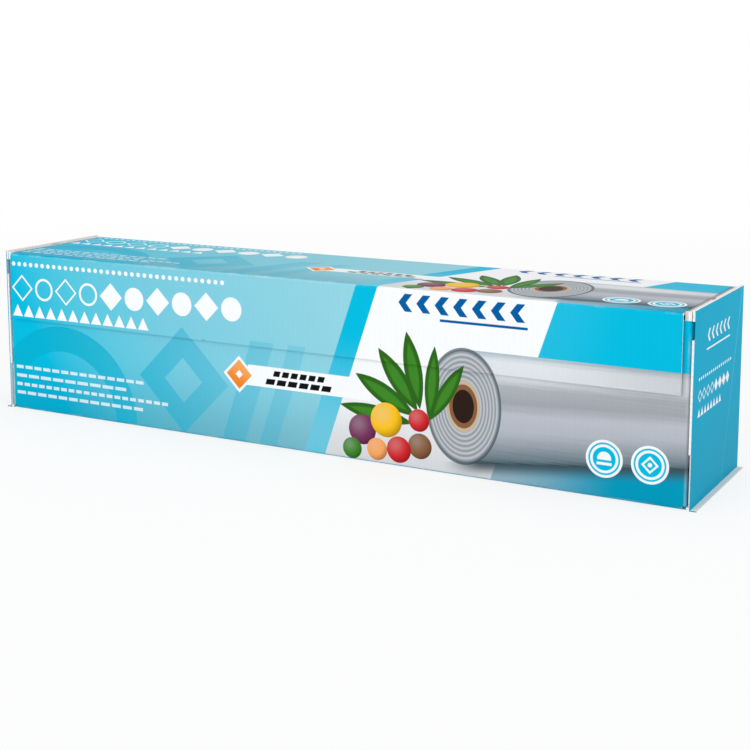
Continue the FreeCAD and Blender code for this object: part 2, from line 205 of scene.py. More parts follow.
class Wire:
    """A socket that gives a number, so that shader maths reads as Python."""

    def __init__(self, board, socket):
        self.board = board
        self.socket = socket

    def maths(self, operation, *others):
        return self.board.node("ShaderNodeMath", {"operation": operation}, (self, *others))

    def __add__(self, other):
        return self.maths("ADD", other)

    def __sub__(self, other):
        return self.maths("SUBTRACT", other)

    def __mul__(self, other):
        return self.maths("MULTIPLY", other)

    def __truediv__(self, other):
        return self.maths("DIVIDE", other)

    def __radd__(self, other):
        return self + other

    def __rmul__(self, other):
        return self * other

    def __rsub__(self, other):
        return self.board.node("ShaderNodeMath", {"operation": "SUBTRACT"}, (other, self))

    def __neg__(self):
        return self * -1

    def __abs__(self):
        return self.maths("ABSOLUTE")

    def low(self, other):
        return self.maths("MINIMUM", other)

    def high(self, other):
        return self.maths("MAXIMUM", other)

    def above(self, limit):
        """One where the number is over the limit, and zero elsewhere."""
        return self.maths("GREATER_THAN", limit)

    def below(self, limit):
        return self.maths("LESS_THAN", limit)

    def sine(self):
        return self.maths("SINE")

    def root(self):
        return self.maths("SQRT")

    def wrapped(self, least, most):
        """The number brought between two limits by whole turns."""
        return self.maths("WRAP", most, least)

    def ramp(self, start, end):
        """Rises smoothly from zero at start to one at end."""
        settings = {"interpolation_type": "SMOOTHSTEP"}
        return self.board.node("ShaderNodeMapRange", settings, {0: self, 1: start, 2: end})

    def fall(self, start, end):
        """Falls evenly from one at start to zero at end."""
        values = {0: self, 1: start, 2: end, 3: 1, 4: 0}
        return self.board.node("ShaderNodeMapRange", {}, values)


class NodeBoard:
    """A node tree that nodes are added to."""

    def __init__(self, tree):
        self.tree = tree

    def node(self, kind, settings, values, output=0):
        """A new node of a kind. Its settings are made first, and then its inputs are given.

        A setting is one of the node's own, or the stops of a colour ramp. The inputs are
        numbers, colours or wires, in their order or by name.
        """
        made = self.tree.nodes.new(kind)
        for key, setting in settings.items():
            if key == "stops":
                self.set_stops(made.color_ramp.elements, setting)
            else:
                setattr(made, key, setting)
        pairs = values.items() if isinstance(values, dict) else enumerate(values)
        for key, given in pairs:
            self.give(made.inputs[key], given)
        return Wire(self, made.outputs[output])

    def set_stops(self, elements, stops):
        while len(elements) < len(stops):
            elements.new(1.0)
        for element, (where, paint) in zip(elements, stops):
            element.position = where
            element.color = (*paint, 1)

    def give(self, socket, given):
        """Links a wire to a socket, or sets the socket's own value."""
        if isinstance(given, Wire):
            self.tree.links.new(given.socket, socket)
        else:
            socket.default_value = given

    def seen(self):
        """One for rays from the eye and for those in reflections and through glass."""
        path = self.node("ShaderNodeLightPath", {}, {}, "Is Camera Ray").socket.node
        glossy, through = path.outputs["Is Glossy Ray"], path.outputs["Is Transmission Ray"]
        return Wire(self, path.outputs["Is Camera Ray"]).high(Wire(self, glossy)).high(
            Wire(self, through)
        )


class Finish(NodeBoard):
    """A material under construction on the object's own coordinates, in millimetres."""

    def __init__(self, name):
        self.material = bpy.data.materials.new(name)
        self.material.use_nodes = True
        super().__init__(self.material.node_tree)
        self.shader = self.tree.nodes["Principled BSDF"]
        self.place = self.node("ShaderNodeTexCoord", {}, {}, "Object")
        self.x, self.y, self.z = (axis * (1 / MM) for axis in self.split(self.place))
        facing = self.node("ShaderNodeTexCoord", {}, {}, "Normal")
        self.nx, self.ny, self.nz = self.split(facing)

    def split(self, vector):
        parts = self.node("ShaderNodeSeparateXYZ", {}, (vector,)).socket.node
        return [Wire(self, socket) for socket in parts.outputs]

    def joined(self, x, y, z):
        return self.node("ShaderNodeCombineXYZ", {}, (x, y, z))

    def mix(self, mask, under, over):
        """The colour over where the mask is one, and the colour under where it is zero."""
        settings = {"data_type": "RGBA", "clamp_factor": True}
        under, over = (paint if isinstance(paint, Wire) else (*paint, 1) for paint in (under, over))
        return self.node("ShaderNodeMix", settings, {0: mask, 6: under, 7: over}, 2)

    def scaled(self, paint, factor):
        """A colour times a number."""
        return self.node("ShaderNodeVectorMath", {"operation": "SCALE"}, {0: paint, 3: factor})

    def blend(self, position, stops):
        """A colour read along a line from zero to one, with a named place for each stop."""
        return self.node("ShaderNodeValToRGB", {"stops": stops}, (position,))

    def noise(self, place, scale, detail=3.0, rough=0.55):
        """Even grain about one half. The scale is in grains for each millimetre."""
        values = {"Vector": place, "Scale": scale, "Detail": detail, "Roughness": rough}
        return self.node("ShaderNodeTexNoise", {}, values, "Fac")

    def grain(self, scale, detail=3.0, stretch=(1, 1, 1)):
        place = self.joined(*(axis * part for axis, part in zip((self.x, self.y, self.z), stretch)))
        return self.noise(place, scale, detail)

    def bump(self, height, depth, under=None):
        """A normal from a height between zero and one that stands depth millimetres high."""
        values = {"Strength": 1.0, "Distance": depth * MM, "Height": height}
        if under:
            values["Normal"] = under
        return self.node("ShaderNodeBump", {}, values)

    def wear(self, **sockets):
        """Sets or links the shader's own sockets, named with their spaces as underscores."""
        for name, given in sockets.items():
            self.give(self.shader.inputs[name.replace("_", " ")], given)


# Print is drawn in a frame of its own: across runs from the left end and down from the
# upper edge of a face, both in millimetres. A shape is a distance, negative inside. Its
# edge is softened over the width of the blur.
BLUR = 0.12


def inside(distance):
    """One inside a shape and zero outside, over a thin soft edge."""
    return distance.fall(-BLUR / 2, BLUR / 2)


def strip(position, start, end):
    """What lies between two positions."""
    return abs(position - (start + end) / 2) - (end - start) / 2


def block(across, down, left, top, right, bottom):
    """A rectangle between two corners."""
    return strip(across, left, right).high(strip(down, top, bottom))


def disc(across, down, centre, radius, squash=1.0):
    """A disc, or an ellipse when its height is squashed."""
    x = across - centre[0]
    y = (down - centre[1]) * (1 / squash)
    return (x * x + y * y).root() - radius


def lozenge(across, down, centre, reach):
    return abs(across - centre[0]) + abs(down - centre[1]) - reach


def ring(distance, half_width):
    """The line along a shape's edge."""
    return abs(distance) - half_width


def joined_shapes(shapes):
    """Several shapes as one."""
    whole = shapes[0]
    for shape in shapes[1:]:
        whole = whole.low(shape)
    return whole


def repeated(position, start, pitch):
    """Position from the middle of the nearest cell of a row that begins at start."""
    return (position - (start + pitch / 2)).wrapped(-pitch / 2, pitch / 2)


def cells(across, down, row):
    """Place within the nearest cell of a row, from the cell's middle, and the row's block.

    A row is its left end, upper and lower edge, the pitch of its motifs and their number.
    """
    left, top, bottom, pitch, count = row
    limits = block(across, down, left, top, left + pitch * count, bottom)
    return repeated(across, left, pitch), down - (top + bottom) / 2, limits


def tooth(cell, level, half_height, half_width):
    """A triangle that stands on the foot of its cell."""
    return abs(cell) - (level + half_height) * (half_width / (2 * half_height))


def dashes(across, down, rows):
    """Every dash of several rows."""
    shapes = []
    for row in rows:
        cell, level, limits = cells(across, down, row)
        shapes.append((abs(cell) - (row[3] - DASH_GAP) / 2).high(limits))
    return inside(joined_shapes(shapes))


def chevron(cell, level, half_width):
    """An angle that points to the left."""
    return abs(cell - abs(level) * CHEVRON_LEAN + half_width) - half_width


def leaf(across, down, root, tip, width):
    """A pointed leaf: what two equal discs share, with root and tip where they cross."""
    run = np.subtract(tip, root)
    reach = float(np.hypot(*run))
    side = np.array([-run[1], run[0]]) / reach
    middle = np.add(root, tip) / 2
    radius = (reach * reach / 4 + width * width / 4) / width
    offset = radius - width / 2
    first = disc(across, down, middle + side * offset, radius)
    second = disc(across, down, middle - side * offset, radius)
    return first.high(second)


# Height of a long face's print, which the top panel's depth is stretched to.
FACE_DROP = 70.0

# Every slanting edge leans by this much across for each millimetre down. An edge is placed
# by where it meets the upper edge of the face.
SLANT = 24.0 / FACE_DROP
BAND_LEFT = 178.4
BAND_RIGHT = 187.8
BLOCK_LEFT = 260.5

# The right half of the top panel's print lies further along than the front's.
TOP_SHIFT = 24.0

# The walls lie behind the flap, so their print is set a little aside and lower: seen
# from the right and from above, it then meets the flap's print at the flap's edge.
STEP_ASIDE = 1.0
STEP_DOWN = 0.3

# Rows of a long face: left end, upper and lower edge, pitch of the motifs and their number.
DOT_ROW = (4.4, 3.0, 6.0, 3.25, 35)
OPEN_ROW = (4.4, 8.0, 22.0, 12.25, 4)
SOLID_ROW = (53.4, 8.0, 22.0, 12.25, 6)
TOOTH_ROW = (4.4, 22.4, 27.6, 6.25, 12)
DASH_ROWS = (
    (4.4, 49.9, 51.3, 5.1, 14),
    (4.4, 53.8, 55.2, 6.9, 9),
    (4.4, 57.7, 59.1, 4.2, 20),
    (4.4, 61.5, 62.9, 5.9, 12),
)
CHEVRON_ROW = (196.0, 2.2, 9.0, 7.6, 7)
DOT_RADIUS = 0.95
MOTIF_RADIUS = 4.9
MOTIF_REACH = 5.9
MOTIF_LINE = 0.5
TOOTH = (2.6, 2.8)
DASH_GAP = 1.1
CHEVRON_HALF = 1.6
CHEVRON_LEAN = 0.8
CHEVRON_RULE = (214, 10.6, 249.2, 11.6)

# A wide arch by its centre, radius and half width, a diamond by its centre, reach and half
# width, and leaning bars by their left, right and upper edges.
ARCH = ((32, 70), 34, 5.5)
DIAMOND = ((96, 47), 16, 6.5)
BARS = ((139, 150, 27), (157, 165, 27))
BARS_FOOT = 72

# The tag across the band, its rows of dashes, and the orange mark at its head.
TAG = (141, 36.9, 200, 45.4)
TAG_ROWS = ((153.4, 38.3, 40.6, 4.1, 6), (151.0, 41.8, 44.1, 5.2, 6))
MARK_CENTRE = (123.9, 41.4)
MARK_REACH = 7.6
MARK_BORDER = 1.5
MARK_EYE = 5.9

# The picture of a roll: its wound end with the tube's rings, and its upper and lower edge
# with the slope of each.
WOUND_CENTRE = (224, 42.8)
WOUND_WIDE = 15.0
WOUND_TALL = 21.7
WOUND_TURN = 1.3
WOUND_RIM = 0.45
CORE_INSET = 9.2
CORE_PAPER = 1.0
CORE_WALL = 1.4
ROLL_TOP = 21.0
ROLL_TOP_SLOPE = -0.002
ROLL_FOOT = 64.5
ROLL_FOOT_SLOPE = 0.11
ROLL_GROUND = (BLOCK_LEFT - 1.5, 52, 400, 80)

# Tones of the pictured metal, from its upper edge to its lower one.
ROLL_TONES = (
    (0.00, screen(176, 192, 200)), (0.07, screen(230, 235, 239)),
    (0.20, screen(228, 232, 236)), (0.30, screen(178, 184, 190)),
    (0.44, screen(166, 171, 178)), (0.56, screen(192, 196, 206)),
    (0.70, screen(184, 190, 200)), (0.84, screen(152, 162, 170)),
    (0.95, screen(112, 130, 140)), (1.00, screen(62, 80, 88)),
)

# Leaves, by root, tip and width, and round shapes, by centre, radius and named colour.
LEAVES = (
    ((210, 50), (224, 27), 6), ((205, 47), (188, 24), 7.5), ((206, 46), (200, 16.5), 7.5),
    ((204, 49), (178, 35), 7.5), ((210, 50), (212, 21), 6), ((203, 52), (171, 48), 6.5),
)
ROUNDS = (
    ((181, 57), 6.0, "plum"), ((176.5, 65), 4.2, "leaf"), ((206, 60.5), 5.0, "brown"),
    ((191.5, 52), 6.8, "yellow"), ((187.5, 64), 4.4, "orange"), ((197, 63), 5.2, "red"),
    ((205.5, 50.5), 4.4, "red"),
)

# Badges, with sizes of their white rim, thin ring and filled middle, and of their motifs.
BADGE_RADIUS = 6.9
BADGE_LEVEL = 55.2
BADGE_RING = 1.3
BADGE_LINE = 0.35
BADGE_FILL = 2.6
BADGE_DOME = 2.6
BADGE_BAR = (2.8, 1.3, 2.3)
BADGE_DIAMOND = 2.7
BADGE_DOT = 0.8
DOME_BADGE = 279.4
DIAMOND_BADGE = 296.2

# Rows of an end panel, and the sizes of their motifs.
END_CHEVRONS = (14.0, 8.2, 12.8, 5.0, 6)
END_DOTS = (5.0, 23.0, 26.0, 2.5, 17)
END_OPEN = (5.0, 28.0, 33.2, 5.0, 4)
END_SOLID = (25.0, 28.0, 33.2, 5.0, 4)
END_TEETH = (5.0, 35.0, 38.0, 3.75, 8)
END_RULE = (14, 15, 44, 15.6)
END_CHEVRON_HALF = 0.8
END_DOT_RADIUS = 0.6
END_MOTIF_REACH = 2.3
END_MOTIF_LINE = 0.3
END_TOOTH = (1.5, 1.5)
END_LINE = 59.4
END_LINE_SLOPE = 0.3


def paint_field(ink, colours, across, down):
    """The long cyan field: pale to the right, deeper at the left end and along the foot."""
    along = (across - down * 0.5) * (1 / 170)
    stops = [(0.0, colours.deep), (0.2, colours.middle), (0.45, colours.pale), (1.0, colours.faint)]
    paint = ink.blend(along, stops)
    return ink.scaled(paint, 1 - down.ramp(40, 70) * 0.2)


def paint_tones(ink, colours, paint, across, down):
    """A large arch, a diamond and bars, a tone deeper than the field that they stand on."""
    leaning = across + down * SLANT
    shapes = [
        ring(disc(across, down, *ARCH[:2]), ARCH[2]),
        ring(lozenge(across, down, *DIAMOND[:2]), DIAMOND[2]),
    ]
    shapes += [block(leaning, down, left, top, right, BARS_FOOT) for left, right, top in BARS]
    mask = inside(joined_shapes(shapes))
    weight = 0.85 - across.ramp(20, 165) * 0.6
    return ink.mix(mask * weight, paint, colours.tone)


def paint_rows(ink, colours, paint, across, down, head):
    """Rows of small light shapes: dots, open and solid motifs, saw teeth and dashes."""
    cell, level, limits = cells(across, down, DOT_ROW)
    dots = disc(cell, level, (0, 0), DOT_RADIUS).high(limits)

    cell, level, limits = cells(across, down, OPEN_ROW)
    odd = (across - OPEN_ROW[0]).wrapped(-OPEN_ROW[3], OPEN_ROW[3]).below(0)
    diamond = lozenge(cell, level, (0, 0), MOTIF_REACH)
    motif = diamond + (disc(cell, level, (0, 0), MOTIF_RADIUS) - diamond) * odd
    open_row = ring(motif + MOTIF_LINE, MOTIF_LINE).high(limits)
    solid_row = motif.high(cells(across, down, SOLID_ROW)[2])

    cell, level, limits = cells(across, down, TOOTH_ROW)
    teeth = tooth(cell, level, *TOOTH).high(limits)
    rows = inside(joined_shapes([dots, open_row, solid_row, teeth]))
    paint = ink.mix(rows * head, paint, colours.white)

    return ink.mix(dashes(across, down, DASH_ROWS) * 0.72, paint, colours.white)


def paint_right(ink, colours, paint, across, down):
    """The slanting band, the white field and the cyan block at the right end."""
    leaning = across + down * SLANT
    band = ink.mix(down.ramp(18, 62) * 0.8, colours.band, colours.pale)
    paint = ink.mix(inside(BAND_LEFT - leaning), paint, band)
    field = ink.mix(down.ramp(30, 70), colours.white, colours.mist)
    paint = ink.mix(inside(BAND_RIGHT - leaning), paint, field)
    near = leaning.ramp(BLOCK_LEFT, BLOCK_LEFT + 30) * 0.15 + 0.85
    side = ink.mix(near, colours.middle, colours.band)
    return ink.mix(inside(BLOCK_LEFT - leaning), paint, side)


def paint_tag(ink, colours, paint, across, down):
    """A white tag across the band, with dark dashes and an orange lozenge at its head."""
    leaning = across + down * SLANT
    paint = ink.mix(inside(block(leaning, down, *TAG)), paint, colours.white)
    paint = ink.mix(dashes(leaning, down, TAG_ROWS), paint, colours.ink)
    outline = lozenge(across, down, MARK_CENTRE, MARK_REACH)
    paint = ink.mix(inside(outline), paint, colours.white)
    orange = ink.mix((down - across * 0.4).ramp(-13, -3), colours.orange, colours.amber)
    paint = ink.mix(inside(outline + MARK_BORDER), paint, orange)
    return ink.mix(inside(outline + MARK_EYE), paint, colours.white)


def paint_roll(ink, colours, paint, across, down):
    """A flat picture of silver metal: shaded lengthways, with a wound end at the left."""
    past = across - WOUND_CENTRE[0]
    upper_edge = ROLL_TOP - past * ROLL_TOP_SLOPE
    lower_edge = ROLL_FOOT - past * ROLL_FOOT_SLOPE

    leaning = across + down * SLANT
    ground = ink.mix(across.ramp(236, 285), colours.haze, colours.shade)
    paint = ink.mix(inside(block(leaning, down, *ROLL_GROUND)), paint, ground)
    below = down - lower_edge
    shadow = below.ramp(-0.8, 0) * (1 - below.ramp(0, 6)) * past.ramp(-10, 8)
    paint = ink.mix(shadow * 0.95, paint, colours.slate)

    body = (-past).high(upper_edge - down).high(down - lower_edge)
    level = (down - upper_edge) / (lower_edge - upper_edge)
    streak = ink.noise(ink.joined(across * 0.03, down * 1.3, 0), 1.0, 5, 0.7)
    metal = ink.blend(level + (streak - 0.5) * 0.12, ROLL_TONES)
    fine = ink.noise(ink.joined(across * 0.012, down * 4.0, 3), 1.0, 3)
    duller = across.ramp(250, 310) * (1 - level.ramp(0.1, 0.5)) * 0.18
    metal = ink.scaled(metal, 0.82 + fine * 0.14 - duller)
    paint = ink.mix(inside(body), paint, metal)

    rim = disc(across, down, WOUND_CENTRE, WOUND_WIDE, WOUND_TALL / WOUND_WIDE)
    turns = abs(repeated(rim, 0, WOUND_TURN)).ramp(0.1, 0.6)
    wound = ink.mix(0.7, ink.mix(turns, colours.slate, colours.silver), colours.grey)
    paint = ink.mix(inside(rim), paint, wound)
    paint = ink.mix(inside(ring(rim, WOUND_RIM)) * 0.8, paint, colours.slate)
    paint = ink.mix(inside(rim + CORE_INSET - CORE_PAPER), paint, colours.tan)
    paint = ink.mix(inside(rim + CORE_INSET), paint, colours.brown)
    return ink.mix(inside(rim + CORE_INSET + CORE_WALL), paint, colours.bore)


def paint_garden(ink, colours, paint, across, down):
    """Leaves and round shapes in front of the silver field, each with a lighter side."""
    dark_leaf = tuple(part * 0.55 for part in colours.leaf)
    for root, tip, width in LEAVES:
        shape = leaf(across, down, root, tip, width)
        green = ink.mix((shape + width * 0.22).ramp(-0.6, 0.4), colours.leaf, dark_leaf)
        paint = ink.mix(inside(shape), paint, green)
    for centre, radius, name in ROUNDS:
        tone = getattr(colours, name)
        light = tuple(0.8 * part + 0.12 for part in tone)
        dark = tuple(0.4 * part for part in tone)
        shape = disc(across, down, centre, radius)
        lit = disc(across, down, (centre[0] - radius * 0.3, centre[1] - radius * 0.35), 0)
        shade = ink.mix(lit.ramp(0, radius), light, tone)
        shade = ink.mix(lit.ramp(radius * 0.8, radius * 1.6), shade, dark)
        paint = ink.mix(inside(shape), paint, shade)
    return paint


def paint_badges(ink, colours, paint, across, down):
    """Two round badges: a dome over a bar, and an open diamond round a dot."""
    for centre in (DOME_BADGE, DIAMOND_BADGE):
        rim = disc(across, down, (centre, BADGE_LEVEL), BADGE_RADIUS)
        paint = ink.mix(inside(rim), paint, colours.white)
        paint = ink.mix(inside(ring(rim + BADGE_RING, BADGE_LINE)), paint, colours.band)
        paint = ink.mix(inside(rim + BADGE_FILL), paint, colours.band)
    level = down - BADGE_LEVEL
    dome = disc(across, level, (DOME_BADGE, 0), BADGE_DOME).high(level - 0.4)
    half, top, foot = BADGE_BAR
    bar = block(across, level, DOME_BADGE - half, top, DOME_BADGE + half, foot)
    diamond = ring(lozenge(across, level, (DIAMOND_BADGE, 0), BADGE_DIAMOND), MOTIF_LINE)
    dot = disc(across, level, (DIAMOND_BADGE, 0), BADGE_DOT)
    return ink.mix(inside(joined_shapes([dome, bar, diamond, dot])), paint, colours.white)


def paint_chevrons(ink, colours, paint, across, down, head):
    """A row of navy chevrons and a thin rule on the white field."""
    cell, level, limits = cells(across, down, CHEVRON_ROW)
    row = chevron(cell, level, CHEVRON_HALF).high(limits)
    rule = block(across, down, *CHEVRON_RULE)
    return ink.mix(inside(row.low(rule)) * head, paint, colours.navy)


def paint_print(ink, colours, across, down, aside, head):
    """The whole print of a long face, with its right half moved aside.

    The head is one where the upper rows are printed, and zero on the wall under the flap.
    """
    right = across - aside
    paint = paint_field(ink, colours, across, down)
    paint = paint_tones(ink, colours, paint, across, down)
    paint = paint_rows(ink, colours, paint, across, down, head)
    paint = paint_right(ink, colours, paint, right, down)
    paint = paint_tag(ink, colours, paint, right, down)
    paint = paint_chevrons(ink, colours, paint, right, down, head)
    paint = paint_roll(ink, colours, paint, right, down)
    paint = paint_garden(ink, colours, paint, right, down)
    return paint_badges(ink, colours, paint, across, down)


def paint_end(ink, colours):
    """The end panel: cyan with rows of small light shapes and one thin slanting line."""
    across = ink.y - WALL_FRONT
    down = FACE_TOP - ink.z
    paint = ink.scaled(colours.end, 1.04 - down.ramp(0, 70) * 0.14)
    line = ring(across - (END_LINE - down * END_LINE_SLOPE), END_MOTIF_LINE)
    paint = ink.mix(inside(line) * (0.5 - down.ramp(10, 60) * 0.3), paint, colours.faint)

    cell, level, limits = cells(across, down, END_CHEVRONS)
    shapes = [chevron(cell, level, END_CHEVRON_HALF).high(limits)]
    shapes.append(block(across, down, *END_RULE))
    cell, level, limits = cells(across, down, END_DOTS)
    shapes.append(disc(cell, level, (0, 0), END_DOT_RADIUS).high(limits))
    cell, level, limits = cells(across, down, END_OPEN)
    diamond = lozenge(cell, level, (0, 0), END_MOTIF_REACH)
    shapes.append(ring(diamond + END_MOTIF_LINE, END_MOTIF_LINE).high(limits))
    shapes.append(diamond.high(cells(across, down, END_SOLID)[2]))
    cell, level, limits = cells(across, down, END_TEETH)
    shapes.append(tooth(cell, level, *END_TOOTH).high(limits))
    return ink.mix(inside(joined_shapes(shapes)), paint, colours.white)


BARE_ROUGH = 0.86


def finish_board(ink, board, printed, edge, paint):
    """Print, bare liner or cut edge, each with its own gloss and relief.

    Flutes show as a wave along a cut edge and as a faint washboard on the faces. The print is
    mottled, and lightened in patches where a fold turns: crease wear and a painted highlight.
    """
    pitch = FULL_TURN / (board.flute / MM)
    fibre = ink.grain(1.4, 4)
    liner = ink.scaled(board.liner, 0.94 + fibre * 0.1)
    wave = ((ink.x + ink.y + ink.z) * pitch).sine()
    cut = ink.mix(wave.ramp(-0.75, 0.1), board.hollow, board.edge)
    cut = ink.scaled(cut, 0.86 + ink.grain(2.2, 4) * 0.24)
    bare = ink.mix(edge, liner, cut)
    washboard = (ink.x * pitch).sine() * 0.5 + 0.5
    mottle = 0.97 + fibre * 0.03 + washboard * 0.012 + ink.grain(0.05, 2) * 0.03
    oblique = abs(ink.nx * ink.ny) + abs(ink.ny * ink.nz) + abs(ink.nz * ink.nx)
    # Crease wear and painted highlight: where a fold turns, the print is lightened in patches
    # towards the cut edge's colour.
    fold_wear_and_highlight = (oblique * 2).ramp(0.3, 1.0) * ink.grain(0.11, 6).ramp(0.42, 0.72)
    paint = ink.mix(fold_wear_and_highlight * 0.22, ink.scaled(paint, mottle), board.edge)
    warp = ink.bump(ink.grain(0.018, 2), 0.5)
    ink.wear(
        Base_Color=ink.mix(printed, bare, paint),
        Roughness=BARE_ROUGH - printed * (BARE_ROUGH - board.gloss) + (fibre - 0.5) * 0.08,
        Specular_IOR_Level=board.sheen,
        Normal=ink.bump(fibre, 0.02, ink.bump(washboard, 0.006, warp)),
    )


def use(node, finish, slot):
    """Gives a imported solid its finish."""
    finish.material.name = slot
    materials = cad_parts[node].data.materials
    materials.clear()
    materials.append(finish.material)


class FOILCARTON_OT_lid(bpy.types.Operator):
    """Prints the lid: its top panel and front flap outside, bare liner inside"""

    bl_idname = "foilcarton.lid"
    bl_label = "Lid"

    def execute(self, context):
        colours, board = context.scene.foil_print, context.scene.foil_board
        ink = Finish("lid_board")
        across = ink.x + PANEL_FACE
        fall = FACE_TOP - ink.z
        depth = ink.y - FACE_FRONT
        top = fall.below(depth)
        from_back = (FACE_BACK - ink.y) * (FACE_DROP / (FACE_BACK - FACE_FRONT))
        down = fall + (from_back - fall) * top
        outside_top = ink.nz.above(TURNED) * ink.z.above(FACE_TOP - BOARD - REACH)
        outside_front = ink.ny.below(-TURNED) * ink.y.below(FACE_FRONT + BOARD + REACH)
        crease = ink.ny.above(TURNED) * ink.z.above(FACE_TOP - BOARD)
        printed = outside_top.high(outside_front).high(crease * ink.y.above(FACE_BACK - BOARD))
        sides = abs(ink.nx).above(FLAT)
        # Painted shade: near the front face, the flap's cut side edges take the print colour in
        # place of the white edge, standing in for the shade on them.
        skin = fall.below(TOP_SKIN).high(depth.below(FLAP_SHADE_SKIN) * fall.above(BOARD))
        printed = printed.high(sides * skin)
        foot = ink.nz.below(-FLAT) * ink.z.below(FLAP_EDGE + REACH)
        paint = paint_print(ink, colours, across, down, top * TOP_SHIFT, 1)
        finish_board(ink, board, printed, sides.high(foot), paint)
        use("carton_lid", ink, "lid_board")
        return {"FINISHED"}


class FOILCARTON_OT_tray(bpy.types.Operator):
    """Prints the tray: walls, floor and end panels outside, bare liner and cut edges"""

    bl_idname = "foilcarton.tray"
    bl_label = "Tray"

    def execute(self, context):
        colours, board = context.scene.foil_print, context.scene.foil_board
        ink = Finish("tray_board")
        behind = ink.ny.above(TURNED) * ink.y.above(FACE_BACK - LAYER)
        away = abs(ink.x)
        under_edge = ink.z.below(WALL_EDGE + REACH / 2)
        along_wall = away.below(WALL_END - BOARD) * under_edge.high(behind)
        front = ink.ny.below(-TURNED) * ink.y.below(WALL_FRONT + LAYER)
        floor = ink.nz.below(-FLAT) * ink.z.below(BOARD / 2) * away.below(PANEL_FACE + HAIR)
        end = abs(ink.nx).above(FLAT) * abs(away - PANEL_FACE).below(REACH)
        outward = (ink.x * ink.nx).above(0) * abs(ink.nx).above(TURNED - REACH)
        dust = away.above(WALL_END - LAYER) * away.below(WALL_END + REACH / 2)
        dust = dust * outward.high(front).high(behind) * under_edge
        skin = away.above(PANEL_FACE - SKIN) * front.high(behind)
        end = end.high(skin)
        printed = (front.high(behind) * along_wall).high(floor).high(end).high(dust)
        upper = abs(ink.nz).above(FLAT) * ink.z.above(WALL_EDGE - REACH)
        layers = away.above(WALL_END + REACH)
        tips = abs(ink.ny).above(FLAT) * away.above(WALL_END - BOARD - REACH / 2)
        edge = upper.high(layers).high(tips)
        across = ink.x * (1 - 2 * behind) + PANEL_FACE + STEP_ASIDE
        down = FACE_TOP - STEP_DOWN - ink.z
        paint = paint_print(ink, colours, across, down, 0, behind)
        paint = ink.mix(end, paint, paint_end(ink, colours))
        paint = ink.mix(floor, paint, colours.end)
        finish_board(ink, board, printed, edge, paint)
        use("carton_tray", ink, "tray_board")
        return {"FINISHED"}


TOOTH_TIP = 1.8


class FOILCARTON_OT_cutter(bpy.types.Operator):
    """Finishes the cutter strip as cold rolled steel with rolling marks along it"""

    bl_idname = "foilcarton.cutter"
    bl_label = "Cutter strip"

    def execute(self, context):
        metal = context.scene.foil_metal
        ink = Finish("cutter_steel")
        marks = ink.grain(1.0, 5, (0.06, 4, 4))
        blotch = ink.grain(0.05, 3)
        tips = ink.z.ramp(CUTTER_HIGH.z - TOOTH_TIP, CUTTER_HIGH.z)
        bright = 0.82 + marks * 0.2 + tips * 0.1 - (blotch - 0.5) * 0.1
        ink.wear(
            Base_Color=ink.scaled(metal.steel, bright),
            Metallic=1.0,
            Roughness=0.2 + marks * 0.16 + blotch * 0.1,
            Normal=ink.bump(marks, 0.012),
        )
        use("cutter_strip", ink, "cutter_steel")
        return {"FINISHED"}


def foil_finish(metal, wound):
    """Bright foil with rolling streaks round the roll, and turn lines on a wound end."""
    ink = Finish("foil")
    streaks = ink.grain(1.0, 5, (3.2, 0.02, 0.02))
    bands = ink.grain(1.0, 3, (0.09, 0.01, 0.01))
    cloud = ink.grain(0.03, 3)
    dents = ink.grain(0.07, 2, (0.5, 1, 1))
    height = streaks
    bright = 0.88 + (streaks - 0.5) * 0.22 + (bands - 0.5) * 0.2 + (cloud - 0.5) * 0.08
    if wound:
        y, z = ink.y - CORE_Y, ink.z - CORE_Z
        out = (y * y + z * z).root()
        turns = ink.noise(ink.joined(out * 5.5, 0, 0), 1.0, 4, 0.7)
        end = abs(ink.nx).above(FLAT)
        height = streaks + (turns - streaks) * end
        bright = bright * (1 - end * 0.34 * (1 - turns))
    ink.wear(
        Base_Color=ink.scaled(metal.foil, bright),
        Metallic=1.0,
        Roughness=0.14 + streaks * 0.16 + bands * 0.1,
        Normal=ink.bump(height, 0.012, ink.bump(dents, 0.15)),
    )
    return ink


class FOILCARTON_OT_roll(bpy.types.Operator):
    """Finishes the wound foil"""

    bl_idname = "foilcarton.roll"
    bl_label = "Wound foil"

    def execute(self, context):
        use("foil_roll", foil_finish(context.scene.foil_metal, True), "foil")
        return {"FINISHED"}


PAPER_LAYER = 0.5


class FOILCARTON_OT_core(bpy.types.Operator):
    """Finishes the paper tube with its spiral seam, fibres and layered ends"""

    bl_idname = "foilcarton.core"
    bl_label = "Paper tube"

    def execute(self, context):
        metal = context.scene.foil_metal
        ink = Finish("tube_paper")
        y, z = ink.y - CORE_Y, ink.z - CORE_Z
        turn = z.maths("ARCTAN2", y) * (1 / FULL_TURN)
        wind = (ink.x * (MM / metal.seam) + turn).wrapped(-0.5, 0.5)
        seam = 1 - abs(wind).ramp(0.0, 0.012)
        fibre = ink.grain(0.9, 5, (0.5, 1.6, 1.6))
        end = abs(ink.nx).above(FLAT)
        layer = ((y * y + z * z).root() * (FULL_TURN / PAPER_LAYER)).sine() * 0.5 + 0.5
        tone = 0.8 + fibre * 0.36 - seam * 0.35 * (1 - end) - end * layer * 0.22
        ink.wear(
            Base_Color=ink.scaled(metal.paper, tone),
            Roughness=0.8 + fibre * 0.12,
            Normal=ink.bump(fibre - seam * 0.6, 0.05),
        )
        use("roll_core", ink, "tube_paper")
        return {"FINISHED"}


